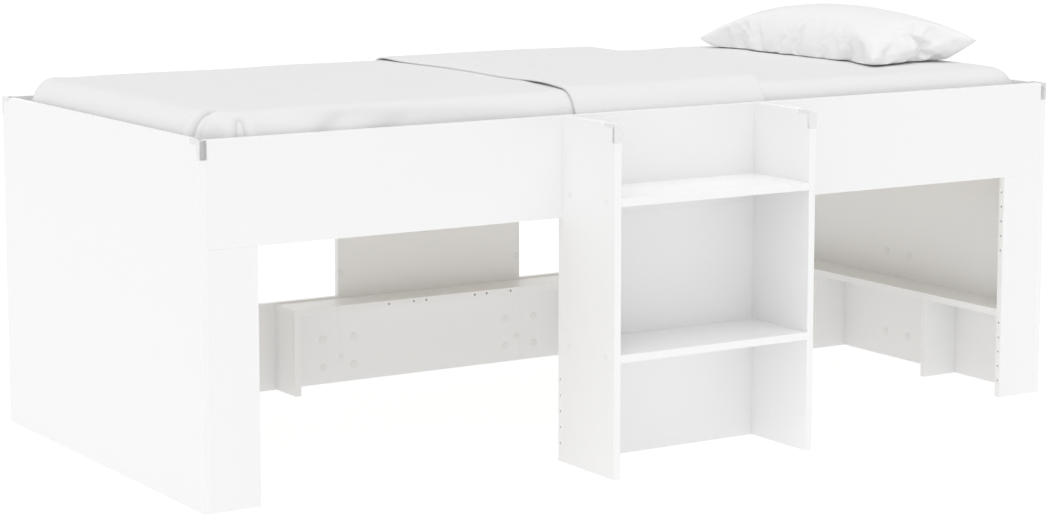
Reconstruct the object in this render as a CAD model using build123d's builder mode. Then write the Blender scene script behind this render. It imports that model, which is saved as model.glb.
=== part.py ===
# High sleeper bed of white boards, with a step ladder in front of it, low shelves under it and its bedding.
# X runs along the bed from the foot to the head, Y from the ladder to the wall side, and Z up from the floor.
# The origin is on the floor, under the middle of the whole bed with its ladder.
import os
from collections import defaultdict

from build123d import *

os.makedirs("parts", exist_ok=True)

# Mattress and boards
mattress_length = 2000.0
mattress_width = 900.0
mattress_thickness = 190.0
mattress_room = 5.0  # free length and width inside the boards
board = 15.0
rail_height = 200.0
leg_height = 486.5
leg_width = 100.0
centre_width = 480.0  # board in the middle of each long side
low_board_height = 196.0

# Step ladder in front
ladder_depth = 180.0
lower_step_top = 242.0
upper_step_top = 543.0

# Low shelves
shelf_top = 192.0
shelf_depth = 90.0
back_shelf_length = 795.0
head_support_spacing = 400.0  # between the middles of the two supports under the head shelf

# Slatted base
ledger_height = 30.0
ledger_thickness = 20.0
slat_count = 13
slat_width = 70.0
slat_thickness = 12.0
slat_end_gap = 4.0

# Row holes in board edges, on the 32 mm drilling grid
grid = 32.0
row_hole_radius = 2.5
row_hole_depth = 12.0
row_hole_count = 5
first_row_height = 37.0
upper_row_steps = 9  # grid steps from the first row's start to the upper row's start
shelf_hole_steps = (2, 3, 5)  # grid steps from the shelf's middle, both ways

# Cam locks, bolts and screws
cam_radius = 7.5
cam_depth = 12.5
cam_reach = 39.5  # from a butt joint to each cam of a double bolt
single_reach = 34.0  # from the mating face to the cam of a single bolt
bolt_radius = 3.5
bolt_thread_depth = 10.0
screw_radius = 3.5
screw_length = 48.0
screw_sink = 1.0  # the head's depth under the face
slim_sides = 8  # sides of a bolt, a screw, their bores and a row hole
bore_fit = 0.25  # room round a cam, bolt or screw
bolt_end_gap = 0.5
panel_bolt_heights = (57.0, 249.0)
low_board_bolt_heights = (first_row_height, first_row_height + 2 * grid)
ladder_screw_heights = (57.0, 249.0, 633.0)
step_screw_front_inset = 28.0
step_screw_back_inset = 25.0
support_screw_heights = (31.0, 127.0)

# Clear corner guards
guard_leg = 36.0
guard_flange = 8.0
guard_wall = 2.5
guard_corner_radius = 8.0
guard_bevel = 0.8

# Bedding
bedding_side_room = 10.0  # the mattress's squeeze on each side, which the tucked quilt fills
mattress_radius = 38.0
mattress_corner = 60.0  # the upright corners' radius
plan_room = 2.0  # how far the rounded plan clears the mattress's straight sides
mattress_crown = 5.0
side_pull = 4.0  # how far the mattress's sides draw in at mid height
quilt_top = 8.0  # thickness of one layer of the quilt on the top
quilt_side = 4.4  # thickness of one layer where it is tucked in
quilt_gap = 0.4
quilt_tuck = 90.0  # how far the quilt's hem hangs below the mattress's top edge
hem_front_x = -196.0  # where the folded-back hem and the fold cross the front and back sides
hem_back_x = -160.0
fold_front_x = 262.0
fold_back_x = 404.0
fold_width = 14.0
pillow_length = 650.0
pillow_width = 300.0
pillow_swell = 88.0  # height of the pillow's middle above its seam
pillow_belly = 40.0  # depth of the pillow's middle below its seam, before it is pressed flat
pillow_end = 0.07  # share of the swell that is left at the pillow's two ends
pillow_waist = 22.0  # how far the pillow's long sides draw in between its corners
pillow_from_head = 174.0  # from the head panel's inner face to the pillow's middle
pillow_from_front = 501.0  # from the bed's front face to the pillow's middle
pillow_rise = 27.0  # height of the seam's middle above the mattress's edge
pillow_tilt = 4.5  # degrees, head side up
pillow_stations = (-1.0, -0.9, -0.6, 0.0, 0.6, 0.9, 1.0)  # lofted sections, in half lengths
rest_gap = 0.3

# Places worked out from the sizes above
bed_length = mattress_length + mattress_room + 2 * board
bed_depth = mattress_width + mattress_room + 2 * board
bed_height = leg_height + rail_height
front = (ladder_depth - bed_depth) / 2
back = front + bed_depth
ladder_front = front - ladder_depth
mid_y = (front + back) / 2
end_x = bed_length / 2
inner_x = end_x - board
leg_x = inner_x - leg_width
centre_x = centre_width / 2
ladder_x = centre_x - board
front_inner = front + board
back_inner = back - board
front_mid = front + board / 2
back_mid = back - board / 2
shelf_under = shelf_top - board
slat_top = leg_height + ledger_height + slat_thickness
mattress_top = slat_top + mattress_thickness

along_x, along_y = Vector(1, 0, 0), Vector(0, 1, 0)

# Every bore is a start point, a direction, an outline and a depth, kept under the name of its board.
bores = defaultdict(list)
cams, bolts, ladder_screws, step_screws, support_screws = [], [], [], [], []

# Outlines of the pins and of the bores round them
cam_disc = Circle(cam_radius)
cam_bore = Circle(cam_radius + bore_fit)
bolt_shank = RegularPolygon(bolt_radius, slim_sides)
bolt_bore = RegularPolygon(bolt_radius + bore_fit, slim_sides)
screw_shank = RegularPolygon(screw_radius, slim_sides)
screw_bore = RegularPolygon(screw_radius + bore_fit, slim_sides)
row_hole = RegularPolygon(row_hole_radius, slim_sides)


def add_cam(name, centre, into):
    """Sinks a cam in a board's inner face, over a point in the middle of the board's thickness."""
    start = centre - into * (board / 2)
    cams.append((start, into, cam_disc, cam_depth))
    bores[name].append((start, into, cam_bore, cam_depth))


def add_double_bolt(lower_name, upper_name, joint, along, into):
    """Draws two boards together, edge to edge, by a bolt with a cam at each end."""
    for name, way in ((lower_name, -1), (upper_name, 1)):
        add_cam(name, joint + along * (way * cam_reach), into)
        bores[name].append((joint, along * way, bolt_bore, cam_reach))
    half = cam_reach - cam_radius - bolt_end_gap
    bolts.append((joint - along * half, along, bolt_shank, 2 * half))


def add_single_bolt(cam_board, mate, joint, along, into):
    """Holds a board's edge against a mate's face, by a bolt in the mate and a cam in the board."""
    add_cam(cam_board, joint + along * single_reach, into)
    bores[cam_board].append((joint, along, bolt_bore, single_reach))
    bores[mate].append((joint, along * -1, bolt_bore, bolt_thread_depth + bolt_end_gap))
    length = bolt_thread_depth + single_reach - cam_radius - bolt_end_gap
    bolts.append((joint - along * bolt_thread_depth, along, bolt_shank, length))


def add_screw(places, outer, inner, start, along):
    """Drives a screw through one board's face into another board's edge."""
    places.append((start + along * screw_sink, along, screw_shank, screw_length))
    reach = screw_length + screw_sink + bolt_end_gap
    bores[outer].append((start, along, screw_bore, board))
    bores[inner].append((start + along * board, along, screw_bore, reach - board))


def make_board(name, x, y, z):
    """Cuts one board to its spans along X, Y and Z, bores it and writes it."""
    with BuildPart() as piece:
        with BuildSketch(Plane.XY.offset(z[0])):
            with Locations(((x[0] + x[1]) / 2, (y[0] + y[1]) / 2)):
                Rectangle(x[1] - x[0], y[1] - y[0])
        extrude(amount=z[1] - z[0])
        for start, direction, outline, depth in bores[name]:
            with BuildSketch(Plane(origin=start, z_dir=direction)):
                add(outline)
            extrude(amount=depth, mode=Mode.SUBTRACT)
    piece.part.label = name
    export_step(piece.part, f"parts/{name}.step")


def make_pins(name, places):
    """Makes a group of like pins, each its own solid."""
    with BuildPart() as pins:
        for start, direction, outline, length in places:
            with BuildSketch(Plane(origin=start, z_dir=direction)):
                add(outline)
            extrude(amount=length)
    pins.part.label = name
    export_step(pins.part, f"parts/{name}.step")


# Where the bolts and screws go
ends = ((-1, "foot"), (1, "head"))
sides = ((-1, "left"), (1, "right"))
for way, end in ends:
    for height in panel_bolt_heights:
        joint = Vector(way * (inner_x + board / 2), mid_y, height)
        add_double_bolt(f"{end}_panel_front", f"{end}_panel_back", joint, along_y, along_x * way)
    for rail, half, y, into in (
        ("front_rail", "front", front_mid, along_y * -1),
        ("back_rail", "back", back_mid, along_y),
    ):
        joint = Vector(way * inner_x, y, leg_height + rail_height / 2)
        add_single_bolt(rail, f"{end}_panel_{half}", joint, along_x * -way, into)

for way, side in sides:
    for height in low_board_bolt_heights:
        joint = Vector(way * centre_x, back_mid, height)
        add_double_bolt("back_centre_board", f"low_back_board_{side}", joint, along_x * way, along_y)
    for height in ladder_screw_heights:
        holder = "front_centre_board" if height < leg_height else "front_rail"
        start = Vector(way * (centre_x - board / 2), front_inner, height)
        add_screw(ladder_screws, holder, f"ladder_side_{side}", start, along_y * -1)
    for step, top in (("lower_step", lower_step_top), ("upper_step", upper_step_top)):
        for y in (ladder_front + step_screw_front_inset, front - step_screw_back_inset):
            start = Vector(way * centre_x, y, top - board / 2)
            add_screw(step_screws, f"ladder_side_{side}", step, start, along_x * -way)

    # Supports of the back shelf, screwed from behind the wall board
    support_mid = way * (back_shelf_length / 2 - board / 2)
    for height in support_screw_heights:
        start = Vector(support_mid, back, height)
        outer, inner = f"low_back_board_{side}", f"back_shelf_support_{side}"
        add_screw(support_screws, outer, inner, start, along_y * -1)

# Supports of the head shelf, screwed from the head panel's outer face
for way, half in ((-1, "front"), (1, "back")):
    support_mid = mid_y + way * head_support_spacing / 2
    for height in support_screw_heights:
        start = Vector(end_x, support_mid, height)
        outer, inner = f"head_panel_{half}", f"head_shelf_support_{half}"
        add_screw(support_screws, outer, inner, start, along_x * -1)

# Rows of holes in the free edges of the front boards and of the back shelf
lower_row = [first_row_height + i * grid for i in range(row_hole_count)]
upper_row = [height + upper_row_steps * grid for height in lower_row]
for way, side in sides:
    for height in lower_row + upper_row:
        start = Vector(way * leg_x, front_mid, height)
        bores[f"front_leg_{side}"].append((start, along_x * way, row_hole, row_hole_depth))
    for height in lower_row:
        start = Vector(way * centre_x, front_mid, height)
        bores["front_centre_board"].append((start, along_x * -way, row_hole, row_hole_depth))
    for steps in shelf_hole_steps:
        start = Vector(way * steps * grid, back_inner - shelf_depth, shelf_top - board / 2)
        bores["back_shelf"].append((start, along_y, row_hole, row_hole_depth))

# End panels, each of two boards
for way, end in ends:
    x = sorted((way * inner_x, way * end_x))
    make_board(f"{end}_panel_front", x, (front, mid_y), (0, bed_height))
    make_board(f"{end}_panel_back", x, (mid_y, back), (0, bed_height))

# Rails, legs and centre boards of the two long sides
for name, y in (("front", (front, front_inner)), ("back", (back_inner, back))):
    make_board(f"{name}_rail", (-inner_x, inner_x), y, (leg_height, bed_height))
    make_board(f"{name}_leg_left", (-inner_x, -leg_x), y, (0, leg_height))
    make_board(f"{name}_leg_right", (leg_x, inner_x), y, (0, leg_height))
    make_board(f"{name}_centre_board", (-centre_x, centre_x), y, (0, leg_height))
make_board("low_back_board_left", (-leg_x, -centre_x), (back_inner, back), (0, low_board_height))
make_board("low_back_board_right", (centre_x, leg_x), (back_inner, back), (0, low_board_height))

# Step ladder
make_board("ladder_side_left", (-centre_x, -ladder_x), (ladder_front, front), (0, bed_height))
make_board("ladder_side_right", (ladder_x, centre_x), (ladder_front, front), (0, bed_height))
for name, top in (("lower_step", lower_step_top), ("upper_step", upper_step_top)):
    make_board(name, (-ladder_x, ladder_x), (ladder_front, front), (top - board, top))

# Back shelf and its supports
shelf_x = back_shelf_length / 2
shelf_y = (back_inner - shelf_depth, back_inner)
make_board("back_shelf", (-shelf_x, shelf_x), shelf_y, (shelf_under, shelf_top))
make_board("back_shelf_support_left", (-shelf_x, -shelf_x + board), shelf_y, (0, shelf_under))
make_board("back_shelf_support_right", (shelf_x - board, shelf_x), shelf_y, (0, shelf_under))

# Head shelf and its supports
head_x = (inner_x - shelf_depth, inner_x)
make_board("head_shelf", head_x, (front_inner, back_inner), (shelf_under, shelf_top))
for name, way in (("front", -1), ("back", 1)):
    y = mid_y + way * head_support_spacing / 2
    make_board(f"head_shelf_support_{name}", head_x, (y - board / 2, y + board / 2), (0, shelf_under))

# Ledgers and slats
ledger_z = (leg_height, leg_height + ledger_height)
make_board("front_ledger", (-inner_x, inner_x), (front_inner, front_inner + ledger_thickness), ledger_z)
make_board("back_ledger", (-inner_x, inner_x), (back_inner - ledger_thickness, back_inner), ledger_z)

with BuildPart() as slats:
    slat_pitch = (2 * inner_x - slat_width - 2 * slat_end_gap) / (slat_count - 1)
    with BuildSketch(Plane.XY.offset(ledger_z[1])):
        with Locations((0, mid_y)):
            with GridLocations(slat_pitch, 0, slat_count, 1):
                Rectangle(slat_width, back_inner - front_inner - 2 * slat_end_gap)
    extrude(amount=slat_thickness)
slats.part.label = "slats"
export_step(slats.part, "parts/slats.step")

# Fasteners
make_pins("cam_locks", cams)
make_pins("cam_bolts", bolts)
make_pins("ladder_screws", ladder_screws)
make_pins("step_screws", step_screws)
make_pins("support_screws", support_screws)


def make_guard(name, x, corner_y, inwards, flange_ways):
    """Wraps a board's upper corner: walls on its two edges, and flanges on the faces named."""
    low_x = x[0] - (guard_wall if -1 in flange_ways else 0)
    high_x = x[1] + (guard_wall if 1 in flange_ways else 0)
    with BuildPart() as guard:
        with BuildSketch(Plane.YZ.offset(low_x)):
            with BuildLine():
                outer_y = corner_y - inwards * guard_wall
                flange_y = corner_y + inwards * guard_flange
                leg_y = corner_y + inwards * guard_leg
                top = bed_height + guard_wall
                FilletPolyline(
                    (leg_y, top),
                    (outer_y, top),
                    (outer_y, bed_height - guard_leg),
                    radius=guard_corner_radius,
                )
                Polyline(
                    (outer_y, bed_height - guard_leg),
                    (flange_y, bed_height - guard_leg),
                    (flange_y, bed_height - guard_flange),
                    (leg_y, bed_height - guard_flange),
                    (leg_y, top),
                )
            make_face()
        extrude(amount=high_x - low_x)
        rim = guard.faces().filter_by(Axis.X).sort_by(Axis.X)[0 if -1 in flange_ways else -1]
        chamfer(rim.edges(), guard_bevel)
        with BuildSketch(Plane.YZ.offset(x[0])):
            with Locations((corner_y + inwards * guard_leg, bed_height - guard_leg)):
                Rectangle(2 * guard_leg, 2 * guard_leg)
        extrude(amount=x[1] - x[0], mode=Mode.SUBTRACT)
    guard.part.label = name
    export_step(guard.part, f"parts/{name}.step")


make_guard("foot_front_guard", (-end_x, -inner_x), front, 1, (-1,))
make_guard("foot_back_guard", (-end_x, -inner_x), back, -1, (-1,))
make_guard("head_front_guard", (inner_x, end_x), front, 1, (1,))
make_guard("head_back_guard", (inner_x, end_x), back, -1, (1,))
make_guard("ladder_left_guard", (-centre_x, -ladder_x), ladder_front, 1, (-1, 1))
make_guard("ladder_right_guard", (ladder_x, centre_x), ladder_front, 1, (-1, 1))


def soft_outline(half, high, radius):
    """A section through the bedding: flat below, with drawn-in sides, rounded edges and a crown."""
    with BuildSketch() as outline:
        with BuildLine():
            Line((0, slat_top), (half, slat_top))
            ThreePointArc(
                (half, slat_top),
                (half - side_pull, (slat_top + high - radius) / 2),
                (half, high - radius),
            )
            TangentArc((half, high - radius), (half - radius, high), tangent=(0, 1))
            TangentArc((0, high + mattress_crown), (half - radius, high), tangent=(1, 0))
            mirror(about=Plane.YZ)
        make_face()
    return outline.sketch


def soft_block(grow_side, grow_top):
    """The mattress's form, grown outwards: its cross section, long section and plan, intersected."""
    half_length = inner_x - bedding_side_room + grow_side
    half_width = (mattress_width + mattress_room) / 2 - bedding_side_room + grow_side
    high, radius = mattress_top + grow_top, mattress_radius + grow_side
    across = Plane(origin=(-half_length, mid_y, 0), x_dir=(0, 1, 0), z_dir=(1, 0, 0))
    lengthwise = Plane(origin=(0, mid_y + half_width, 0), x_dir=(1, 0, 0), z_dir=(0, -1, 0))
    with BuildPart() as block:
        with BuildSketch(across):
            add(soft_outline(half_width, high, radius))
        extrude(amount=2 * half_length)
        with BuildSketch(lengthwise):
            add(soft_outline(half_length, high + mattress_crown, radius))
        extrude(amount=2 * half_width, mode=Mode.INTERSECT)
        with BuildSketch(Plane.XY.offset(slat_top)):
            with Locations((0, mid_y)):
                plan_x, plan_y = half_length + plan_room, half_width + plan_room
                RectangleRounded(2 * plan_x, 2 * plan_y, mattress_corner + grow_side)
        extrude(amount=bed_height, mode=Mode.INTERSECT)
    return block.part


def quilt_zone(front_start, back_start, front_end, back_end, low):
    """The upright space between two lines across the bed, from a height upwards."""
    with BuildPart() as zone:
        with BuildSketch(Plane.XY.offset(low)):
            Polygon(
                (front_start, front),
                (front_end, front),
                (back_end, back),
                (back_start, back),
                align=None,
            )
        extrude(amount=bed_height)
    return zone.part


# Mattress
mattress = soft_block(0, 0)
mattress.label = "mattress"
export_step(mattress, "parts/mattress.step")

# Quilt: one layer over the foot half, and its head end folded back over itself
layer_side = quilt_gap + quilt_side
layer_top = quilt_gap + quilt_top
hem_z = mattress_top - quilt_tuck
lower_layer = soft_block(layer_side, layer_top)
upper_layer = soft_block(2 * layer_side, 2 * layer_top)
under_lower = soft_block(quilt_gap, quilt_gap)
under_upper = soft_block(layer_side + quilt_gap, layer_top + quilt_gap)
spread = quilt_zone(-end_x, -end_x, fold_front_x, fold_back_x, hem_z)
turned_back = quilt_zone(hem_front_x, hem_back_x, fold_front_x, fold_back_x, hem_z)
slit = quilt_zone(-end_x, -end_x, fold_front_x - fold_width, fold_back_x - fold_width, 0)
with BuildPart() as quilt:
    add(upper_layer)
    add(turned_back, mode=Mode.INTERSECT)
    add(under_upper & slit, mode=Mode.SUBTRACT)
    add(lower_layer & spread)
    add(under_lower, mode=Mode.SUBTRACT)
quilt.part.label = "quilt"
export_step(quilt.part, "parts/quilt.step")

# Pillow: sections between a swelled upper arc and a shallow lower arc, pressed flat where it rests
pillow_x = inner_x - pillow_from_head
pillow_y = front + pillow_from_front
pillow_z = mattress_top + pillow_rise
with BuildPart() as pillow:
    for station in pillow_stations:
        fullness = pillow_end + (1 - pillow_end) * (1 - station**4) ** 0.5
        half = pillow_width / 2 - pillow_waist / 2 * (1 - station**2)
        plane = Plane(
            origin=(pillow_x, pillow_y + station * pillow_length / 2, pillow_z),
            x_dir=Vector(1, 0, 0).rotate(Axis.Y, -pillow_tilt),
            z_dir=(0, -1, 0),
        )
        with BuildSketch(plane):
            with BuildLine():
                ThreePointArc((-half, 0), (0, fullness * pillow_swell), (half, 0))
                ThreePointArc((half, 0), (0, -fullness * pillow_belly), (-half, 0))
            make_face()
    loft(ruled=True)
    with BuildSketch(Plane.XY.offset(mattress_top + mattress_crown + rest_gap)):
        with Locations((pillow_x, pillow_y)):
            Rectangle(2 * pillow_width, 2 * pillow_length)
    extrude(amount=-pillow_belly, mode=Mode.SUBTRACT)
pillow.part.label = "pillow"
export_step(pillow.part, "parts/pillow.step")
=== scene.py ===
import math
import bmesh
import bpy
import numpy as np
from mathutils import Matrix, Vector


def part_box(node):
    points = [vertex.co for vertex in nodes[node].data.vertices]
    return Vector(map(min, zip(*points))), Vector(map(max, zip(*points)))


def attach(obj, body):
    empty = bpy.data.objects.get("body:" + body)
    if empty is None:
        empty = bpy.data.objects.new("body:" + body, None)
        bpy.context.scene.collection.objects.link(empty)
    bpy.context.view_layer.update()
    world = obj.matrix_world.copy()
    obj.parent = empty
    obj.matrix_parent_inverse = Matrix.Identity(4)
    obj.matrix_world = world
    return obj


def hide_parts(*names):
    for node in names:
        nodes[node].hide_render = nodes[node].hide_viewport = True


# Raised bed of white boards with a step ladder, and its mattress, quilt and pillow.
# Metres; X runs from the foot to the head, Y from the ladder to the wall side, Z up.
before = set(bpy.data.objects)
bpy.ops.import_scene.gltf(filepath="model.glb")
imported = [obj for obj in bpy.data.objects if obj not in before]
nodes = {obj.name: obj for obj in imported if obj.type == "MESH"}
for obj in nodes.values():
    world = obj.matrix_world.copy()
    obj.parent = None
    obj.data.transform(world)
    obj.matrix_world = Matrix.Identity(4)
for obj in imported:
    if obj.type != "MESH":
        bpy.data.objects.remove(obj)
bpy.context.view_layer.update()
print("frame loaded,", len(nodes), "nodes")

# Places that several pieces share
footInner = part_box("foot_panel_front")[1].x
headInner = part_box("head_panel_front")[0].x
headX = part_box("head_panel_front")[1].x
railLow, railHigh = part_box("front_rail")
frontY, frontInner = railLow.y, railHigh.y
railMiddle = (railLow.z + railHigh.z) / 2
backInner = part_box("back_rail")[0].y
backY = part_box("back_rail")[1].y
midY = (frontY + backY) / 2
boardThick = frontInner - frontY
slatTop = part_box("slats")[1].z


# Node helpers

def addNode(tree, kind, **values):
    # Values go to the node's own settings, or else to the input sockets of those names
    node = tree.nodes.new("ShaderNode" + kind)
    for name, value in values.items():
        if hasattr(node, name):
            setattr(node, name, value)
        else:
            node.inputs[name.replace("_", " ")].default_value = value
    return node


def mathNode(tree, operation, first, second=None, third=None):
    node = addNode(tree, "Math", operation=operation)
    for place, value in enumerate((first, second, third)):
        if isinstance(value, (int, float)):
            node.inputs[place].default_value = value
        elif value is not None:
            tree.links.new(value, node.inputs[place])
    return node.outputs[0]


# Camera and light

camera = {
    "place": (-3.1428, -4.8217, 1.2599),
    "yaw": 32.325,  # degrees from +Y towards +X
    "pitch": -7.858,
    "lens": 94.7,  # millimetres, like the sensor's width
    "sensor": 36.0,
    "shift": -0.06,  # share of the picture's width
    "clipEnd": 60.0,
}
cameraData = bpy.data.cameras.new("studioCamera")
cameraData.lens = camera["lens"]
cameraData.sensor_width = camera["sensor"]
cameraData.sensor_fit = "HORIZONTAL"
cameraData.shift_y = camera["shift"]
cameraData.clip_end = camera["clipEnd"]
cameraObject = bpy.data.objects.new("studioCamera", cameraData)
cameraObject.location = camera["place"]
cameraObject.rotation_euler = (
    math.radians(90 + camera["pitch"]), 0.0, math.radians(-camera["yaw"]))
bpy.context.scene.collection.objects.link(cameraObject)
bpy.context.scene.camera = cameraObject
bpy.context.scene.view_settings.view_transform = "Standard"

light = {
    "worldStrength": 0.63,
    "lamps": (  # name, strength, degrees from the front towards +X, degrees up, spread in degrees
        ("lowFront", 0.12, -25.0, 12.0, 50.0),
        ("highLeft", 0.33, -60.0, 45.0, 60.0),
        ("overhead", 1.00, 0.0, 85.0, 80.0)),
    "floorBounce": 0.5,
    "floorGlow": 0.61,  # the studio floor is a light table, so the bed is lit from below too
    "floorShow": 0.22,  # share of the floor's look that takes shadow
    "floorLit": 0.55,  # light on the open floor, as a share of white
    "floorHalf": 14.0,
}
white = (1.0, 1.0, 1.0, 1.0)


def seenOrLit(tree, lit, seen):
    # One shader for plain light, another for rays from the camera or from a mirror-like surface
    path = addNode(tree, "LightPath")
    isSeen = mathNode(tree, "MAXIMUM", path.outputs["Is Camera Ray"], path.outputs["Is Glossy Ray"])
    mix = addNode(tree, "MixShader")
    for place, source in enumerate((isSeen, lit.outputs[0], seen.outputs[0])):
        tree.links.new(source, mix.inputs[place])
    return mix.outputs[0]


def makeWorld():
    world = bpy.data.worlds.new("studio")
    world.use_nodes = True
    tree = world.node_tree
    tree.nodes.clear()
    lit = addNode(tree, "Background", Color=white, Strength=light["worldStrength"])
    seen = addNode(tree, "Background", Color=white, Strength=1.0)
    tree.links.new(seenOrLit(tree, lit, seen), addNode(tree, "OutputWorld").inputs[0])
    bpy.context.scene.world = world


def makeLamps():
    for name, strength, turn, height, softness in light["lamps"]:
        data = bpy.data.lights.new(name, "SUN")
        data.energy = strength
        data.angle = math.radians(softness)
        lamp = bpy.data.objects.new(name, data)
        lamp.rotation_euler = (math.radians(90 - height), 0.0, math.radians(turn))
        bpy.context.scene.collection.objects.link(lamp)


def makeFloor():
    half = light["floorHalf"]
    mesh = bpy.data.meshes.new("studioFloor")
    corners = [(-half, -half, 0), (half, -half, 0), (half, half, 0), (-half, half, 0)]
    mesh.from_pydata(corners, [], [(0, 1, 2, 3)])
    floor = bpy.data.objects.new("studioFloor", mesh)
    bpy.context.scene.collection.objects.link(floor)
    material = bpy.data.materials.new("studioFloor")
    material.use_nodes = True
    tree = material.node_tree
    tree.nodes.clear()
    looks = []
    for colour, strength in (  # how light finds the floor, and how the camera does
            (light["floorBounce"], light["floorGlow"]),
            (light["floorShow"], 1.0 - light["floorLit"] * light["floorShow"])):
        plain = addNode(tree, "BsdfDiffuse", Color=(colour, colour, colour, 1.0))
        glow = addNode(tree, "Emission", Color=white, Strength=strength)
        both = addNode(tree, "AddShader")
        tree.links.new(plain.outputs[0], both.inputs[0])
        tree.links.new(glow.outputs[0], both.inputs[1])
        looks.append(both)
    tree.links.new(seenOrLit(tree, *looks), addNode(tree, "OutputMaterial").inputs[0])
    mesh.materials.append(material)


makeWorld()
makeLamps()
makeFloor()
print("camera, light and floor")


# Shader helpers and shared effects

def srgb(*value):
    # Turns display values from 0 to 255 into the linear colour that a socket takes
    parts = [v / 255 for v in value]
    return (*[v / 12.92 if v <= 0.04045 else ((v + 0.055) / 1.055) ** 2.4 for v in parts], 1.0)


def spread(tree, value, low, high):
    # Stretches 0 to 1 over low to high
    node = addNode(tree, "MapRange", To_Min=low, To_Max=high)
    tree.links.new(value, node.inputs["Value"])
    return node.outputs["Result"]


def newGroup(name, takes, gives):
    group = bpy.data.node_groups.new(name, "ShaderNodeTree")
    for label, kind, value in takes:
        socket = group.interface.new_socket(label, in_out="INPUT", socket_type="NodeSocket" + kind)
        if value is not None:
            socket.default_value = value
    for label, kind in gives:
        group.interface.new_socket(label, in_out="OUTPUT", socket_type="NodeSocket" + kind)
    return group, group.nodes.new("NodeGroupInput"), group.nodes.new("NodeGroupOutput")


def makeWeaveGroup():
    # Plain weave: warp and weft are two sine waves at right angles, each lifted where it passes over,
    # with slubs from stretched noise that thicken single threads
    group, given, result = newGroup(
        "plainWeave",
        (("Vector", "Vector", None), ("Threads", "Float", 900.0), ("Slub", "Float", 0.2)),
        (("Height", "Float"), ("Tone", "Float")))
    split = group.nodes.new("ShaderNodeSeparateXYZ")
    group.links.new(given.outputs["Vector"], split.inputs[0])
    waves = []
    for axis in (0, 1):
        turns = mathNode(group, "MULTIPLY", split.outputs[axis], given.outputs["Threads"])
        angle = mathNode(group, "MULTIPLY", turns, math.pi)
        waves.append(mathNode(group, "SINE", angle))
    crossing = mathNode(group, "MULTIPLY", waves[0], waves[1])
    weave = mathNode(group, "MULTIPLY_ADD", crossing, 0.5, 0.5)
    slubs = []
    for stretch in ((1.0, 0.06, 1.0), (0.06, 1.0, 1.0)):
        mapping = addNode(group, "Mapping", Scale=stretch)
        group.links.new(given.outputs["Vector"], mapping.inputs["Vector"])
        noise = addNode(group, "TexNoise", Detail=2.0)
        group.links.new(mapping.outputs[0], noise.inputs["Vector"])
        scale = mathNode(group, "MULTIPLY", given.outputs["Threads"], 0.6)
        group.links.new(scale, noise.inputs["Scale"])
        slubs.append(noise.outputs["Fac"])
    slub = mathNode(group, "ADD", slubs[0], slubs[1])
    slub = mathNode(group, "SUBTRACT", slub, 1.0)
    slub = mathNode(group, "MULTIPLY", slub, given.outputs["Slub"])
    height = mathNode(group, "MULTIPLY_ADD", slub, 2.0, weave)
    group.links.new(height, result.inputs["Height"])
    tone = mathNode(group, "MULTIPLY_ADD", slub, 1.5, mathNode(group, "MULTIPLY", weave, 0.3))
    group.links.new(tone, result.inputs["Tone"])
    return group


def makeMottleGroup():
    # Slow cloudy change plus fine grain, both centred on nought
    group, given, result = newGroup(
        "mottle",
        (("Vector", "Vector", None), ("Cloud", "Float", 3.0), ("Grain", "Float", 400.0)),
        (("Cloudy", "Float"), ("Grainy", "Float")))
    for label, size, detail in (("Cloudy", "Cloud", 3.0), ("Grainy", "Grain", 2.0)):
        noise = addNode(group, "TexNoise", Detail=detail)
        group.links.new(given.outputs["Vector"], noise.inputs["Vector"])
        group.links.new(given.outputs[size], noise.inputs["Scale"])
        centred = mathNode(group, "SUBTRACT", noise.outputs["Fac"], 0.5)
        group.links.new(centred, result.inputs[label])
    return group


weaveGroup = makeWeaveGroup()
mottleGroup = makeMottleGroup()


def startMaterial(name, **sockets):
    material = bpy.data.materials.new(name)
    material.use_nodes = True
    tree = material.node_tree
    shader = tree.nodes["Principled BSDF"]
    for socket, value in sockets.items():
        shader.inputs[socket.replace("_", " ")].default_value = value
    return material, tree, shader


def placeGroup(tree, group, vector, **values):
    node = addNode(tree, "Group", node_tree=group, **values)
    tree.links.new(vector, node.inputs["Vector"])
    return node


def tint(tree, colour, amount, shader):
    # Multiplies a colour by one plus a small amount that changes over the surface
    scale = addNode(tree, "VectorMath", operation="SCALE")
    scale.inputs[0].default_value = colour[:3]
    tree.links.new(mathNode(tree, "ADD", amount, 1.0), scale.inputs["Scale"])
    tree.links.new(scale.outputs[0], shader.inputs["Base Color"])


def bump(tree, height, shader, strength, distance):
    node = addNode(tree, "Bump", Strength=strength, Distance=distance)
    tree.links.new(height, node.inputs["Height"])
    tree.links.new(node.outputs[0], shader.inputs["Normal"])


def objectVector(tree):
    return tree.nodes.new("ShaderNodeTexCoord").outputs["Object"]


# Finishes

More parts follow.
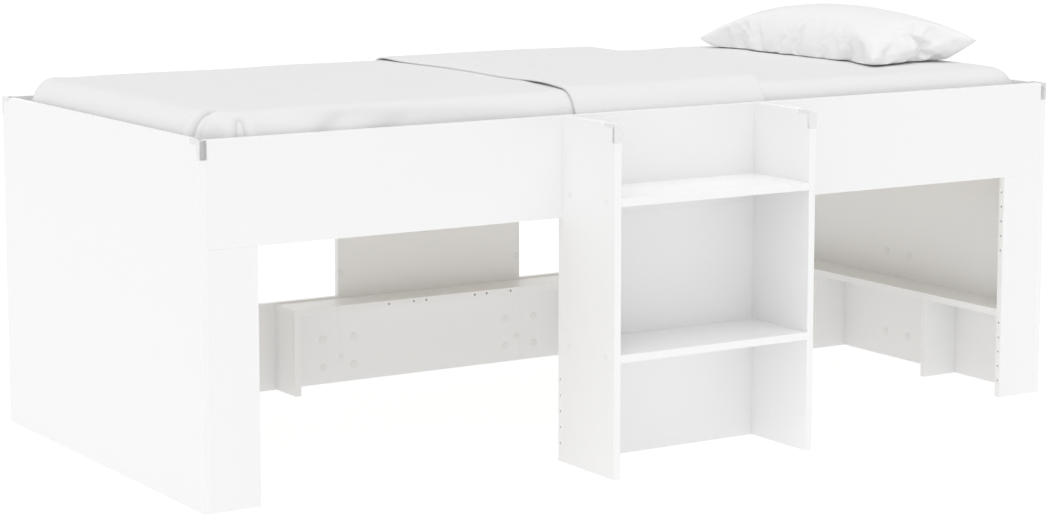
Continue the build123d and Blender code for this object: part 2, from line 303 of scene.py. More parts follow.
hardLook = {  # cloud and grain are per metre, shade is the share of the colour that the cloud changes
    "whiteMelamine": {
        "colour": srgb(246, 246, 246), "cloud": 2.2, "grain": 900.0, "shade": 0.010,
        "rough": (0.27, 0.31), "roughBy": "Cloudy", "marks": 0.05, "depth": 0.0004,
        "band": 0.012},  # how much lighter the edge banding is than the faces
    "platedSteel": {
        "colour": srgb(176, 176, 172), "cloud": 60.0, "grain": 1500.0, "shade": 0.2,
        "rough": (0.26, 0.42), "roughBy": "Grainy", "marks": 0.15, "depth": 0.0002},
    "castZinc": {
        "colour": srgb(180, 180, 178), "cloud": 60.0, "grain": 1500.0, "shade": 0.2,
        "rough": (0.42, 0.58), "roughBy": "Grainy", "marks": 0.35, "depth": 0.0002},
    "clearPlastic": {
        "colour": srgb(247, 248, 249), "cloud": 40.0, "grain": 900.0, "shade": 0.04,
        "rough": (0.10, 0.24), "roughBy": "Cloudy", "marks": 0.08, "depth": 0.0003,
        "alpha": (0.07, 0.34), "blend": 0.35},  # see-through face on, milky at a grazing angle
    "whiteCap": {
        "colour": srgb(240, 240, 239), "cloud": 30.0, "grain": 1200.0, "shade": 0.02,
        "rough": (0.32, 0.46), "roughBy": "Cloudy", "marks": 0.06, "depth": 0.0003},
}


def makeHardMaterial(name, **sockets):
    look = hardLook[name]
    material, tree, shader = startMaterial(name, **sockets)
    mottle = placeGroup(tree, mottleGroup, objectVector(tree), Cloud=look["cloud"], Grain=look["grain"])
    amount = mathNode(tree, "MULTIPLY", mottle.outputs["Cloudy"], look["shade"])
    if "band" in look:
        band = addNode(tree, "Attribute", attribute_name="edgeBand")
        amount = mathNode(tree, "MULTIPLY_ADD", band.outputs["Fac"], look["band"], amount)
    tint(tree, look["colour"], amount, shader)
    if "alpha" in look:
        grazing = addNode(tree, "LayerWeight", Blend=look["blend"])
        tree.links.new(spread(tree, grazing.outputs["Facing"], *look["alpha"]), shader.inputs["Alpha"])
    fac = mathNode(tree, "ADD", mottle.outputs[look["roughBy"]], 0.5)
    tree.links.new(spread(tree, fac, *look["rough"]), shader.inputs["Roughness"])
    bump(tree, mottle.outputs["Grainy"], shader, look["marks"], look["depth"])
    return material


clothShared = {
    "cloud": 7.0,
    "grain": 260.0,
    "weaveShade": 0.05,
    "cloudShade": 0.025,
    # painted shadow: share by which the cloth colour darkens in a full-depth groove
    "paintedCreaseShadow": -0.5,
    "fuzz": 0.8,
    "rough": 0.9,
    "roughRange": 0.08,
    "depth": 0.0006,
}
clothLook = {
    "mattress_sheet": {"colour": srgb(234, 234, 234), "threads": 1500.0, "slub": 0.10, "bump": 0.22},
    "quilt_face": {"colour": srgb(234, 234, 234), "threads": 1700.0, "slub": 0.08, "bump": 0.18},
    "quilt_reverse": {"colour": srgb(233, 233, 233), "threads": 640.0, "slub": 0.55, "bump": 0.50},
    # painted shadow: a dark cloth on the hem's rim where it is lifted, standing for the shade in the gap
    # beneath
    "hem_gap_shadow": {"colour": srgb(92, 86, 80), "threads": 900.0, "slub": 0.3, "bump": 0.4},
    "pillow_case": {"colour": srgb(242, 242, 242), "threads": 1500.0, "slub": 0.12, "bump": 0.25},
}


def makeClothMaterial(name, source):
    look = {**clothShared, **clothLook[name]}
    material, tree, shader = startMaterial(
        name, Sheen_Weight=0.45, Sheen_Roughness=0.5, Specular_IOR_Level=0.25)
    coordinates = addNode(tree, "TexCoord")
    weave = placeGroup(
        tree, weaveGroup, coordinates.outputs[source], Threads=look["threads"], Slub=look["slub"])
    mottle = placeGroup(
        tree, mottleGroup, coordinates.outputs["Object"], Cloud=look["cloud"], Grain=look["grain"])
    # Painted shade: the colour darkens along the quilt's wrinkle grooves
    creaseShadow = addNode(tree, "Attribute", attribute_name="creaseShadow")
    tone = mathNode(tree, "MULTIPLY", weave.outputs["Tone"], look["weaveShade"])
    tone = mathNode(tree, "MULTIPLY_ADD", mottle.outputs["Cloudy"], look["cloudShade"], tone)
    tone = mathNode(tree, "MULTIPLY_ADD", creaseShadow.outputs["Fac"], look["paintedCreaseShadow"], tone)
    tint(tree, look["colour"], tone, shader)
    rough = mathNode(tree, "MULTIPLY_ADD", mottle.outputs["Cloudy"], look["roughRange"], look["rough"])
    tree.links.new(rough, shader.inputs["Roughness"])
    fuzz = mathNode(tree, "MULTIPLY_ADD", mottle.outputs["Grainy"], look["fuzz"], weave.outputs["Height"])
    bump(tree, fuzz, shader, look["bump"], look["depth"])
    return material


woodLook = {
    "stretch": (9.0, 0.6, 9.0),
    "tones": ((0.38, srgb(209, 196, 172)), (0.62, srgb(229, 219, 200))),
    "rough": (0.5, 0.7),
    "marks": 0.2,
    "depth": 0.0006,
}


def makeWoodMaterial():
    # Grain runs along each slat: bands of stretched noise, darker in the late wood
    material, tree, shader = startMaterial("planedPine")
    mapping = addNode(tree, "Mapping", Scale=woodLook["stretch"])
    tree.links.new(objectVector(tree), mapping.inputs["Vector"])
    noise = addNode(tree, "TexNoise", Scale=14.0, Detail=5.0, Distortion=0.6)
    tree.links.new(mapping.outputs[0], noise.inputs["Vector"])
    bands = noise.outputs["Fac"]
    ramp = addNode(tree, "ValToRGB")
    for element, (place, colour) in zip(ramp.color_ramp.elements, woodLook["tones"]):
        element.position = place
        element.color = colour
    tree.links.new(bands, ramp.inputs["Fac"])
    tree.links.new(ramp.outputs["Color"], shader.inputs["Base Color"])
    tree.links.new(spread(tree, bands, *woodLook["rough"]), shader.inputs["Roughness"])
    bump(tree, bands, shader, woodLook["marks"], woodLook["depth"])
    return material


boardMaterial = makeHardMaterial("whiteMelamine")
woodMaterial = makeWoodMaterial()
steelMaterial = makeHardMaterial("platedSteel", Metallic=1.0)
zincMaterial = makeHardMaterial("castZinc", Metallic=1.0)
guardMaterial = makeHardMaterial("clearPlastic", IOR=1.46)
capMaterial = makeHardMaterial("whiteCap")
print("materials")


# Mesh helpers


def wear(item, *materials):
    item.data.materials.clear()
    for material in materials:
        item.data.materials.append(material)


def newPiece(name, mesh, *materials, smooth=True):
    item = bpy.data.objects.new(name, mesh)
    bpy.context.scene.collection.objects.link(item)
    wear(item, *materials)
    if smooth:
        mesh.polygons.foreach_set("use_smooth", np.ones(len(mesh.polygons), bool))
    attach(item, "root")
    return item


def gridQuads(rows, columns, start=0, wrap=False):
    # Quads of a grid of points counted row by row; wrap joins the last column to the first
    i = np.arange(rows - 1)[:, None]
    j = np.arange(columns if wrap else columns - 1)[None, :]
    k = (j + 1) % columns
    corners = [i * columns + j, i * columns + k, (i + 1) * columns + k, (i + 1) * columns + j]
    return np.stack(corners, -1).reshape(-1, 4) + start


def closedMesh(name, points, faces):
    mesh = bpy.data.meshes.new(name)
    mesh.from_pydata(points.tolist(), [], faces)
    work = bmesh.new()
    work.from_mesh(mesh)
    bmesh.ops.remove_doubles(work, verts=work.verts, dist=1e-5)
    bmesh.ops.recalc_face_normals(work, faces=work.faces)
    work.to_mesh(mesh)
    work.free()
    return mesh


# Boards: each CAD board with its arrises taken off and its banded edges marked

board = {
    "arris": 0.0005,
    "shortest": 0.012,  # edges shorter than this belong to holes and keep their shape
}
bareNodes = {"slats", "front_ledger", "back_ledger"}
metalNodes = {"cam_locks", "cam_bolts", "ladder_screws", "step_screws", "support_screws"}
softNodes = {"mattress", "quilt", "pillow"}


def dressBoard(node):
    work = bmesh.new()
    work.from_mesh(nodes[node].data)
    bmesh.ops.remove_doubles(work, verts=work.verts, dist=1e-6)
    bmesh.ops.dissolve_limit(work, angle_limit=0.01, verts=work.verts, edges=work.edges)
    low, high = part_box(node)
    span = high - low
    thin = min(range(3), key=lambda axis: span[axis])

    def onOutline(edge):
        # An edge of the board itself has both ends on the outer box in two directions
        middle = (edge.verts[0].co + edge.verts[1].co) / 2
        touching = sum(
            min(abs(middle[a] - low[a]), abs(middle[a] - high[a])) < 1e-5 for a in range(3))
        return touching >= 2 and edge.calc_length() > board["shortest"]

    rims = [edge for edge in work.edges if onOutline(edge)]
    bmesh.ops.bevel(
        work, geom=rims, offset=board["arris"], offset_type="OFFSET",
        segments=2, profile=0.5, affect="EDGES", clamp_overlap=True)
    bmesh.ops.recalc_face_normals(work, faces=work.faces)
    mesh = bpy.data.meshes.new(node + "_board")
    work.to_mesh(mesh)
    work.free()
    normals = np.zeros(len(mesh.polygons) * 3, np.float32)
    mesh.polygons.foreach_get("normal", normals)
    band = (np.abs(normals.reshape(-1, 3)[:, thin]) < 0.9).astype(np.float32)
    mesh.attributes.new("edgeBand", "FLOAT", "FACE").data.foreach_set("value", band)
    piece = newPiece(node + "_board", mesh, boardMaterial, smooth=False)
    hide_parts(node)


for name in sorted(nodes):
    if name in bareNodes:
        wear(nodes[name], woodMaterial)
    elif name in metalNodes:
        wear(nodes[name], zincMaterial if name == "cam_locks" else steelMaterial)
    elif name.endswith("_guard"):
        wear(nodes[name], guardMaterial)
    elif name not in softNodes:
        dressBoard(name)
print("boards, slats, fittings and guards")


# Covers over the cams and the screw heads

cover = {
    "camRadius": 0.0090,
    "screwRadius": 0.0066,
    "rise": 0.0011,
    "steps": 24,
    "boltHeights": (0.057, 0.249),
    "rowHeights": (0.037, 0.101),
    "supportHeights": (0.031, 0.127),
    "topHeight": 0.633,  # of the screws from the rail into the ladder's sides
    "reach": 0.0395,  # from a butt joint to each cam
    "singleReach": 0.034,
    "screwFront": 0.028,
    "screwBack": 0.025,
    "profile": (  # share of the radius, and of the rise
        (0.45, 0.96), (0.78, 0.86), (0.93, 0.66), (1.0, 0.36), (1.0, -0.2)),
}


def coverShape(centre, out, radius):
    # A low dome: its top point, and its profile turned about the direction that it faces
    share, height = np.array(cover["profile"]).T[:, :, None, None]
    angle = np.linspace(0, 2 * math.pi, cover["steps"], endpoint=False)[:, None]
    centre, out = np.array(centre), np.array(out, float)
    side = np.cross(out, (0.0, 0.0, 1.0))
    up = np.cross(side, out)
    ring = np.cos(angle) * side + np.sin(angle) * up
    rings = centre + ring * radius * share + out * (height * cover["rise"])
    return np.concatenate([[centre + out * cover["rise"]], rings.reshape(-1, 3)])


def makeCovers(name, radius, places):
    # Each cover is a fan round its top point, quads from ring to ring, and one flat face behind
    count, rings = cover["steps"], len(cover["profile"])
    turn = np.arange(count)
    fan = np.stack([np.zeros(count, int), 1 + turn, 1 + (turn + 1) % count], -1)
    quads = gridQuads(rings, count, 1, wrap=True)[:, ::-1]
    back = 1 + (rings - 1) * count + turn[::-1]
    points, faces = [], []
    for number, (centre, out) in enumerate(places):
        points.append(coverShape(centre, out, radius))
        start = number * (1 + rings * count)
        faces += (fan + start).tolist() + (quads + start).tolist() + [(back + start).tolist()]
    piece = newPiece(name, closedMesh(name, np.concatenate(points), faces), capMaterial)


camPlaces, screwPlaces, plugPlaces = [], [], []
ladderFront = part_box("ladder_side_left")[0].y
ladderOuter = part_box("ladder_side_right")[1].x
ladderMiddle = ladderOuter - boardThick / 2
for way, innerX in ((-1, footInner), (1, headInner)):
    for z in cover["boltHeights"]:
        for side in (-1, 1):
            camPlaces.append(((innerX, midY + side * cover["reach"], z), (-way, 0, 0)))
    for y, out in ((frontInner, (0, 1, 0)), (backInner, (0, -1, 0))):
        camPlaces.append(((innerX - way * cover["singleReach"], y, railMiddle), out))
for way in (-1, 1):
    for z in cover["rowHeights"]:
        for side in (-1, 1):
            camPlaces.append(((way * ladderOuter + side * cover["reach"], backInner, z), (0, -1, 0)))
    for z in cover["boltHeights"]:
        plugPlaces.append(((way * ladderMiddle, backInner, z), (0, -1, 0)))
    for z in (*cover["boltHeights"], cover["topHeight"]):
        screwPlaces.append(((way * ladderMiddle, frontInner, z), (0, 1, 0)))
    for step in ("lower_step", "upper_step"):
        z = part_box(step)[1].z - boardThick / 2
        for y in (ladderFront + cover["screwFront"], frontY - cover["screwBack"]):
            screwPlaces.append(((way * ladderOuter, y, z), (way, 0, 0)))
    low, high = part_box("back_shelf_support_" + ("left" if way < 0 else "right"))
    for z in cover["supportHeights"]:
        screwPlaces.append((((low.x + high.x) / 2, backY, z), (0, 1, 0)))
for support in ("head_shelf_support_front", "head_shelf_support_back"):
    low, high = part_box(support)
    for z in cover["supportHeights"]:
        screwPlaces.append(((headX, (low.y + high.y) / 2, z), (1, 0, 0)))
makeCovers("camCovers", cover["camRadius"], camPlaces)
makeCovers("screwCovers", cover["screwRadius"], screwPlaces)
makeCovers("holePlugs", cover["screwRadius"], plugPlaces)
print("covers")


# Mattress in its fitted sheet

mattress = {
    "room": 0.010,  # from its ends and sides to the boards
    "thick": 0.190,
    "crown": 0.005,
    "corner": 0.085,  # rounding in plan
    "radius": 0.052,  # rounding of the upper and lower edges
    "pull": 0.004,  # how far the long sides are drawn in at half height
    "pullReach": 0.05,
    "slack": 0.0007,  # slow and quick waves of the sheet on top
    "fineSlack": 0.0005,
    "spacing": 0.012,
}
mattressTop = slatTop + mattress["thick"]
halfLength = headInner - mattress["room"]
halfWidth = (backInner - frontInner) / 2 - mattress["room"]


def crownAt(x, y):
    # Height over the mattress's edge: a shallow vault across the bed that fades at the ends
    across = np.clip(1 - ((y - midY) / halfWidth) ** 2, 0, 1)
    along = np.clip(1 - (x / halfLength) ** 8, 0, 1)
    return mattress["crown"] * across * along


def blockSteps(half, radius, spacing):
    # Positions along one axis, evenly spaced on the flat and closer over the rounded ends
    flat = np.linspace(-(half - radius), half - radius, max(int(2 * (half - radius) / spacing), 2))
    curve = radius * np.tan(np.linspace(0, math.pi / 4, 11))[1:]
    return np.concatenate([-(half - radius) - curve[::-1], flat, half - radius + curve])


def roundedBlock(halves, corner, radius, spacing):
    # A closed block: points of a box's six faces. In plan, each corner square is drawn to a quarter
    # disc by setting its distance from the inner rectangle to the larger of its two offsets. In height,
    # that distance and z are drawn to the circle of the edge radius.
    axes = [blockSteps(h, corner if k < 2 else radius, spacing) for k, h in enumerate(halves)]
    points, faces, start = [], [], 0
    for axis in range(3):
        a, b = [k for k in range(3) if k != axis]
        for sign in (-1, 1):
            one, two = np.meshgrid(axes[a], axes[b], indexing="ij")
            sheet = np.zeros(one.shape + (3,))
            sheet[..., a], sheet[..., b] = one, two
            sheet[..., axis] = sign * halves[axis]
            points.append(sheet.reshape(-1, 3))
            faces.append(gridQuads(one.shape[0], one.shape[1], start))
            start += one.size
    points = np.concatenate(points)
    limit = np.array(halves[:2]) - corner
    inner = np.clip(points[:, :2], -limit, limit)
    offset = points[:, :2] - inner
    away = np.abs(offset).max(axis=1)
    long = np.maximum(np.linalg.norm(offset, axis=1), 1e-12)
    flat = np.minimum(away, corner - radius)
    level = np.clip(points[:, 2], radius - halves[2], halves[2] - radius)
    past = np.stack([away - flat, points[:, 2] - level], -1)
    past *= radius / np.maximum(np.linalg.norm(past, axis=1, keepdims=True), 1e-12)
    points[:, :2] = inner + offset / long[:, None] * (flat + past[:, 0])[:, None]
    points[:, 2] = level + past[:, 1]
    return points, np.concatenate(faces)


def makeMattress():
    halves = (halfLength, halfWidth, mattress["thick"] / 2)
    points, faces = roundedBlock(halves, mattress["corner"], mattress["radius"], mattress["spacing"])
    points[:, 1] += midY
    points[:, 2] += slatTop + mattress["thick"] / 2
    rise = np.clip((points[:, 2] - slatTop) / mattress["thick"], 0, 1)
    waist = np.sin(math.pi * rise)
    reach = mattress["pullReach"]
    side = np.clip((np.abs(points[:, 1] - midY) - (halfWidth - reach)) / reach, 0, 1)
    points[:, 1] -= np.sign(points[:, 1] - midY) * mattress["pull"] * waist * side
    points[:, 2] += crownAt(points[:, 0], points[:, 1]) * rise
    x, y = points[:, 0], points[:, 1] - midY
    slack = mattress["slack"] * np.sin(17 * x + 6 * y) * np.sin(11 * y - 5 * x + 1.3)
    slack += mattress["fineSlack"] * np.sin(34 * x - 21 * y + 0.7)
    points[:, 2] += slack * (rise > 0.7)
    mesh = closedMesh("mattressSheet", points, faces.tolist())
    material = makeClothMaterial("mattress_sheet", "Object")
    piece = newPiece("mattressSheet", mesh, material)
    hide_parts("mattress")


makeMattress()
print("mattress")


# Quilt: one sheet over the foot half, its head end folded back over itself

quilt = {
    "topThick": 0.0072,
    "sideThick": 0.0042,
    "gap": 0.0006,
    "tuck": 0.088,  # below the mattress's top edge
    "hemFront": -0.196,  # X of the folded-back hem at the front and back edges
    "hemBack": -0.160,
    "foldFront": 0.262,
    "foldBack": 0.404,
    "spacing": 0.0072,
    "lowerLong": 0.33,  # lengths that set how many rows the two layers take
    "upperLong": 0.5,
    "foldRows": 10,
    "clear": 0.0006,  # above the mattress
    "hemThick": 0.0022,
    "hemStart": 0.90,  # share of the turned-back layer after which it thins to the hem
    "hemOpen": 0.0008,
    "creaseDepth": 0.014,  # groove depth that takes the full painted crease shadow
    "swell": 0.0010,
    "ripple": 0.0007,
    "spread": 0.005,  # the foot end fills the room to the end panel
    "hemLifts": ((0.93, 0.07, 0.0030), (0.16, 0.09, 0.0040)),  # place across the bed, reach, height
    "wrinkles": (  # start, end, width, height; in metres from the bed's middle
        ((-1.035, -0.420), (-0.925, -0.352), 0.0070, -0.0170),
        ((-1.035, -0.390), (-0.915, -0.325), 0.012, 0.0060),
        ((-1.035, -0.450), (-0.925, -0.380), 0.012, 0.0080),
        ((-0.935, -0.490), (-0.912, -0.415), 0.0065, -0.0160),
        ((-0.962, -0.480), (-0.935, -0.405), 0.012, 0.0090),
        ((-0.910, -0.485), (-0.885, -0.410), 0.012, 0.0060),
        ((-0.830, -0.475), (-0.690, -0.415), 0.010, -0.0036),
        ((-0.800, -0.480), (-0.640, -0.405), 0.016, 0.0034),
        ((-0.740, -0.475), (-0.560, -0.425), 0.010, -0.0030),
        ((-0.860, -0.452), (-0.450, -0.430), 0.013, 0.0035),
        ((-0.800, -0.415), (-0.300, -0.440), 0.014, -0.0026),
        ((-0.550, -0.440), (-0.180, -0.430), 0.014, 0.0020),
        ((-1.020, 0.345), (-0.930, 0.440), 0.008, -0.0110),
        ((-1.020, 0.315), (-0.900, 0.420), 0.014, 0.0045),
        ((-0.700, 0.280), (-0.300, 0.420), 0.030, 0.0022),
        ((-0.600, 0.050), (-0.200, 0.200), 0.040, 0.0018),
        ((-0.450, -0.300), (-0.050, -0.180), 0.035, 0.0018),
    ),
}


def drape(a, v, corner, radius):
    # Carries flat cloth over the mattress's edge: its distance outside the inner rectangle runs level
    # to the edge, round a quarter turn, then straight down
    limitX, limitY = halfLength + quilt["spread"] - corner, halfWidth - corner
    offX = np.minimum(a + limitX, 0)
    offY = v - np.clip(v, -limitY, limitY)
    away = np.hypot(offX, offY)
    level = corner - radius
    angle = np.clip((away - level) / radius, 0, math.pi / 2)
    below = np.clip(away - level - radius * math.pi / 2, 0, None)
    reach = np.where(away > level, level + radius * np.sin(angle), away)
    scale = reach / np.maximum(away, 1e-9)
    x = (a - offX) + offX * scale
    y = (v - offY) + offY * scale
    drop = radius * (1 - np.cos(angle)) + below
    outX, outY = offX / np.maximum(away, 1e-9), offY / np.maximum(away, 1e-9)
    return x, y, drop, angle / (math.pi / 2), outX, outY


def ridge(x, y, start, end, width, height):
    # A soft wrinkle along a line, tapering to nothing at both ends
    ax, ay = start
    bx, by = end
    long = math.hypot(bx - ax, by - ay)
    ux, uy = (bx - ax) / long, (by - ay) / long
    along = (x - ax) * ux + (y - ay) * uy
    across = (y - ay) * ux - (x - ax) * uy
    taper = np.clip(np.sin(math.pi * np.clip(along / long, 0, 1)), 0, 1) ** 0.7
    return height * taper * np.exp(-(across / width) ** 2)


def quiltSheet():
    # Mid surface: rows run from the tucked foot end to the fold and back to the hem, columns across
    corner = mattress["corner"] + quilt["topThick"] / 2
    radius = mattress["radius"] + quilt["topThick"] / 2
    hang = quilt["tuck"] - radius
    reach = corner - radius + radius * math.pi / 2 + hang
    halfAcross = halfWidth - corner + reach
    columns = int(2 * halfAcross / quilt["spacing"])
    v = np.linspace(-halfAcross, halfAcross, columns)
    share = np.clip((v + halfWidth) / (2 * halfWidth), 0, 1)
    fold = quilt["foldFront"] + (quilt["foldBack"] - quilt["foldFront"]) * share
    fold = fold + 0.006 * np.sin(9 * v + 1.0)
    hem = quilt["hemFront"] + (quilt["hemBack"] - quilt["hemFront"]) * share
    hem = hem + 0.012 * np.sin(math.pi * share) + 0.003 * np.sin(15 * v)
    footLong = halfLength + quilt["spread"] - corner + reach
    lower = int((footLong + quilt["lowerLong"]) / quilt["spacing"])
    around = quilt["foldRows"]
    upper = int(quilt["upperLong"] / quilt["spacing"])
    loop = (quilt["topThick"] + quilt["gap"]) / 2
    part = np.linspace(0, 1, lower)[:, None]
    turn = (math.pi * np.arange(1, around) / around)[:, None]
    back = np.linspace(0, 1, upper)[:, None] ** 0.8
    a = np.concatenate([
        -footLong + (fold + footLong) * part,
        fold + loop * np.sin(turn),
        fold + (hem - fold) * back])
    lift = np.concatenate([
        np.zeros((lower, columns)),
        np.broadcast_to(loop * (1 - np.cos(turn)), (around - 1, columns)),
        np.full((upper, columns), 2 * loop)])
    cut = np.concatenate([
        -footLong + (fold + footLong) * part,
        fold + loop * turn,
        fold + loop * math.pi + (fold - hem) * back])
    v = np.broadcast_to(v, a.shape)
    near = np.concatenate([np.zeros(lower + around - 1), np.linspace(0, 1, upper) ** 0.8])[:, None]
    x, y, drop, steep, outX, outY = drape(a, v, corner, radius)
    drop = np.minimum(drop, quilt["tuck"])
    return x, y, drop, steep, outX, outY, lift, cut, v, near


def makeQuilt():
    x, y, drop, steep, outX, outY, lift, cut, v, near = quiltSheet()
    thick = quilt["topThick"] + (quilt["sideThick"] - quilt["topThick"]) * steep
    share = np.clip((v + halfWidth) / (2 * halfWidth), 0, 1)
    hemLine = np.clip((near - quilt["hemStart"]) / (1 - quilt["hemStart"]), 0, 1) ** 1.5
    thick = thick * (1 - (1 - quilt["hemThick"] / quilt["topThick"]) * hemLine * (1 - steep))
    level = thick / 2 + lift * (thick / quilt["topThick"])
    level = np.where(lift > quilt["gap"], lift + quilt["topThick"] / 2 * (1 - 0.4 * steep), level)
    level = level - (quilt["topThick"] - thick) / 2 * hemLine * (1 - steep)
    opening = np.zeros_like(x)
    for middle, wide, height in quilt["hemLifts"]:
        opening += height * np.exp(-((share - middle) / wide) ** 2)
    upperLayer = np.clip(lift / (quilt["topThick"] + quilt["gap"]), 0, 1)
    level = level + (opening + quilt["hemOpen"]) * hemLine * (1 - steep)
    # Besides the shape, each groove adds painted shade that darkens the cloth colour, fully at
    # creaseDepth
    wrinkles, creaseShadow = np.zeros_like(x), np.zeros_like(x)
    for start, end, width, height in quilt["wrinkles"]:
        fold = ridge(x, y, start, end, width, height)
        wrinkles += fold
        creaseShadow += np.clip(-fold / quilt["creaseDepth"], 0, 1)
    wrinkles = wrinkles * (1 - 0.75 * upperLayer)
    soft = quilt["swell"] * np.sin(9 * x + 4 * y) * upperLayer
    soft = soft + quilt["ripple"] * np.sin(13 * x - 8 * y + 2.0)
    level = level + wrinkles + soft * (1 - steep)
    tilt = steep * math.pi / 2  # thickness grows outwards along the turned surface
    out = (level - quilt["topThick"] / 2) * np.sin(tilt)
    z = mattressTop + crownAt(x, y + midY) - drop + quilt["clear"]
    z = z + quilt["topThick"] / 2 + (level - quilt["topThick"] / 2) * np.cos(tilt)
    points = np.stack([x + outX * out, y + outY * out + midY, z], -1)
    du = np.gradient(points, axis=0)
    dv = np.gradient(points, axis=1)
    normal = np.cross(du, dv)
    normal /= np.maximum(np.linalg.norm(normal, axis=2, keepdims=True), 1e-9)
    outer = points + normal * thick[..., None] / 2
    inner = points - normal * thick[..., None] / 2
    rows, columns = x.shape
    count = rows * columns
    faces = [gridQuads(rows, columns), gridQuads(rows, columns, count)[:, ::-1]]
    index = np.arange(count).reshape(rows, columns)
    rim = np.concatenate([index[0, :], index[1:, -1], index[-1, -2::-1], index[-2:0:-1, 0]])
    following = np.roll(rim, -1)
    faces.append(np.stack([following, rim, rim + count, following + count], -1))
    allFaces = np.concatenate(faces)
    mesh = bpy.data.meshes.new("quiltSheet")
    allPoints = np.concatenate([outer.reshape(-1, 3), inner.reshape(-1, 3)])
    mesh.from_pydata(allPoints.tolist(), [], allFaces.tolist())
    sideOf = np.zeros(len(allFaces), np.int32)
    sideOf[len(faces[0]):len(faces[0]) + len(faces[1])] = 1
    place = np.arange(len(rim))
    onHem = (place >= columns + rows - 2) & (place < 2 * columns + rows - 3)
    acrossRim = share[-1, rim[onHem] % columns]
    lifted = np.zeros(len(acrossRim), bool)
    for middle, wide, _ in quilt["hemLifts"]:
        lifted |= np.abs(acrossRim - middle) < wide
    # Where the hem is lifted its rim faces take the dark cloth as painted shadow of the gap under it;
    # elsewhere they take the reverse cloth
    sideOf[len(faces[0]) + len(faces[1]):][onHem] = np.where(lifted, 2, 1)
    mesh.polygons.foreach_set("material_index", sideOf)
    uv = np.concatenate([np.stack([cut, v], -1).reshape(-1, 2)] * 2)
    loops = np.zeros(len(mesh.loops), np.int32)
    mesh.loops.foreach_get("vertex_index", loops)
    # The painted crease shade goes to the cloth's colour as a point attribute
    shade = np.clip(np.concatenate([creaseShadow.ravel()] * 2), 0, 1).astype(np.float32)
    mesh.attributes.new("creaseShadow", "FLOAT", "POINT").data.foreach_set("value", shade)
    layer = mesh.uv_layers.new(name="cut")
    layer.data.foreach_set("uv", uv[loops].astype(np.float32).ravel())
    piece = newPiece(
        "quiltSheet", mesh,
        makeClothMaterial("quilt_face", "UV"), makeClothMaterial("quilt_reverse", "UV"),
        makeClothMaterial("hem_gap_shadow", "UV"))
    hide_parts("quilt")
    width = float(v.max() - v.min())


makeQuilt()
print("quilt")


# Pillow: inflated by cloth simulation from a flat sewn case, then set on the mattress

pillow = {
    "cells": (54, 104),
    "flat": (0.345, 0.700),  # sewn size before it is filled
    "barrel": (0.19, 0.04),  # sides bow out when flat, and are drawn in by the filling
    "start": 0.030,
    "frames": 22,
    "cloth": {
        "quality": 6, "mass": 0.25, "tension_stiffness": 18, "compression_stiffness": 18,
        "shear_stiffness": 6, "bending_stiffness": 2.0, "use_pressure": True,
        "uniform_pressure_force": 5.0, "shrink_min": -0.03},
    "quickSwell": 1.8,
    "clear": 0.0008,  # above the mattress
    "seam": 0.027,  # height of the sewn rim over the mattress
    "tilt": 4.5,  # degrees, up towards the head
    "settle": 0.004,  # depth over which the underside flattens, and how softly
    "ease": 0.006,
    "tips": ((1, -1, 0.013), (-1, 1, 0.009), (1, 1, 0.008)),  # corners that stand off the mattress
}


def pillowPanels():
    # Two panels sewn at the rim: half sizes times a square grid, swelled by the product of two arches
    across, along = pillow["cells"]
    u, w = np.meshgrid(np.linspace(-1, 1, across), np.linspace(-1, 1, along), indexing="ij")
    x = u * pillow["flat"][0] / 2 * (1 + pillow["barrel"][0] * (1 - w ** 2))
    y = w * pillow["flat"][1] / 2 * (1 + pillow["barrel"][1] * (1 - u ** 2))
    swell = pillow["start"] * ((1 - u ** 2) * (1 - w ** 2)) ** 0.5
    top = np.stack([x, y, swell], -1).reshape(-1, 3)
    under = np.stack([x, y, -swell], -1).reshape(-1, 3)
    count = across * along
    faces = np.concatenate([gridQuads(across, along), gridQuads(across, along, count)[:, ::-1]])
    return np.concatenate([top, under]), faces


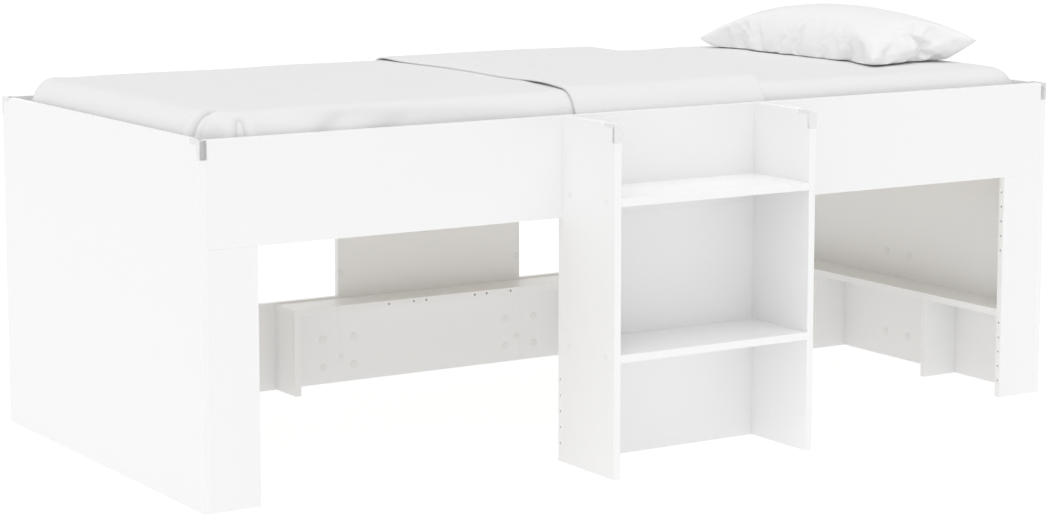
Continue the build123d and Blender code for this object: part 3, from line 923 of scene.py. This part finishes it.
def makePillow():
    points, faces = pillowPanels()
    mesh = closedMesh("pillowCase", points, faces.tolist())
    piece = newPiece("pillowCase", mesh, makeClothMaterial("pillow_case", "Object"))
    inflate(piece)
    low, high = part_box("pillow")
    co = np.zeros(len(piece.data.vertices) * 3)
    piece.data.vertices.foreach_get("co", co)
    co = co.reshape(-1, 3)
    size = np.array(high - low)
    spanX, spanY = np.ptp(co[:, 0]), np.ptp(co[:, 1])
    co[:, 0] *= size[0] / spanX
    co[:, 1] *= size[1] / spanY
    top = co[:, 2].max()
    seam = mattressTop + pillow["seam"]
    co[:, 2] = np.where(co[:, 2] > 0, co[:, 2] * (high.z - seam) / top, co[:, 2] * 0.5)
    co[:, 0] += (low.x + high.x) / 2
    co[:, 1] += (low.y + high.y) / 2
    co[:, 2] += seam + (co[:, 0] - (low.x + high.x) / 2) * math.tan(math.radians(pillow["tilt"]))
    sideX = (co[:, 0] - (low.x + high.x) / 2) / (size[0] / 2)
    sideY = (co[:, 1] - (low.y + high.y) / 2) / (size[1] / 2)
    for cornerX, cornerY, lift in pillow["tips"]:
        near = np.clip(sideX * cornerX, 0, 1) * np.clip(sideY * cornerY, 0, 1)
        co[:, 2] += lift * near ** 1.5
    rest = mattressTop + mattress["crown"] + pillow["clear"]
    past = co[:, 2] - rest - pillow["settle"]  # below nought where the underside flattens
    flattened = rest + pillow["settle"] * np.exp(np.clip(past / pillow["ease"], -6, 0))
    co[:, 2] = np.where(past < 0, flattened, co[:, 2])
    piece.data.vertices.foreach_set("co", co.ravel())
    piece.data.update()
    smoothing = piece.modifiers.new("smoothing", "SUBSURF")
    smoothing.levels = 1
    smoothing.render_levels = 1
    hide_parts("pillow")


def inflate(piece):
    scene = bpy.context.scene
    cloth = piece.modifiers.new("filling", "CLOTH")
    for setting, value in pillow["cloth"].items():
        setattr(cloth.settings, setting, value)
    cloth.settings.effector_weights.gravity = 0.0
    cloth.point_cache.frame_start = 1
    cloth.point_cache.frame_end = pillow["frames"]
    for step in range(1, pillow["frames"] + 1):
        scene.frame_set(step)
    shaped = piece.evaluated_get(bpy.context.evaluated_depsgraph_get())
    co = np.zeros(len(shaped.data.vertices) * 3)
    shaped.data.vertices.foreach_get("co", co)
    piece.modifiers.remove(cloth)
    piece.data.vertices.foreach_set("co", co)
    scene.frame_set(1)


makePillow()
print("pillow")
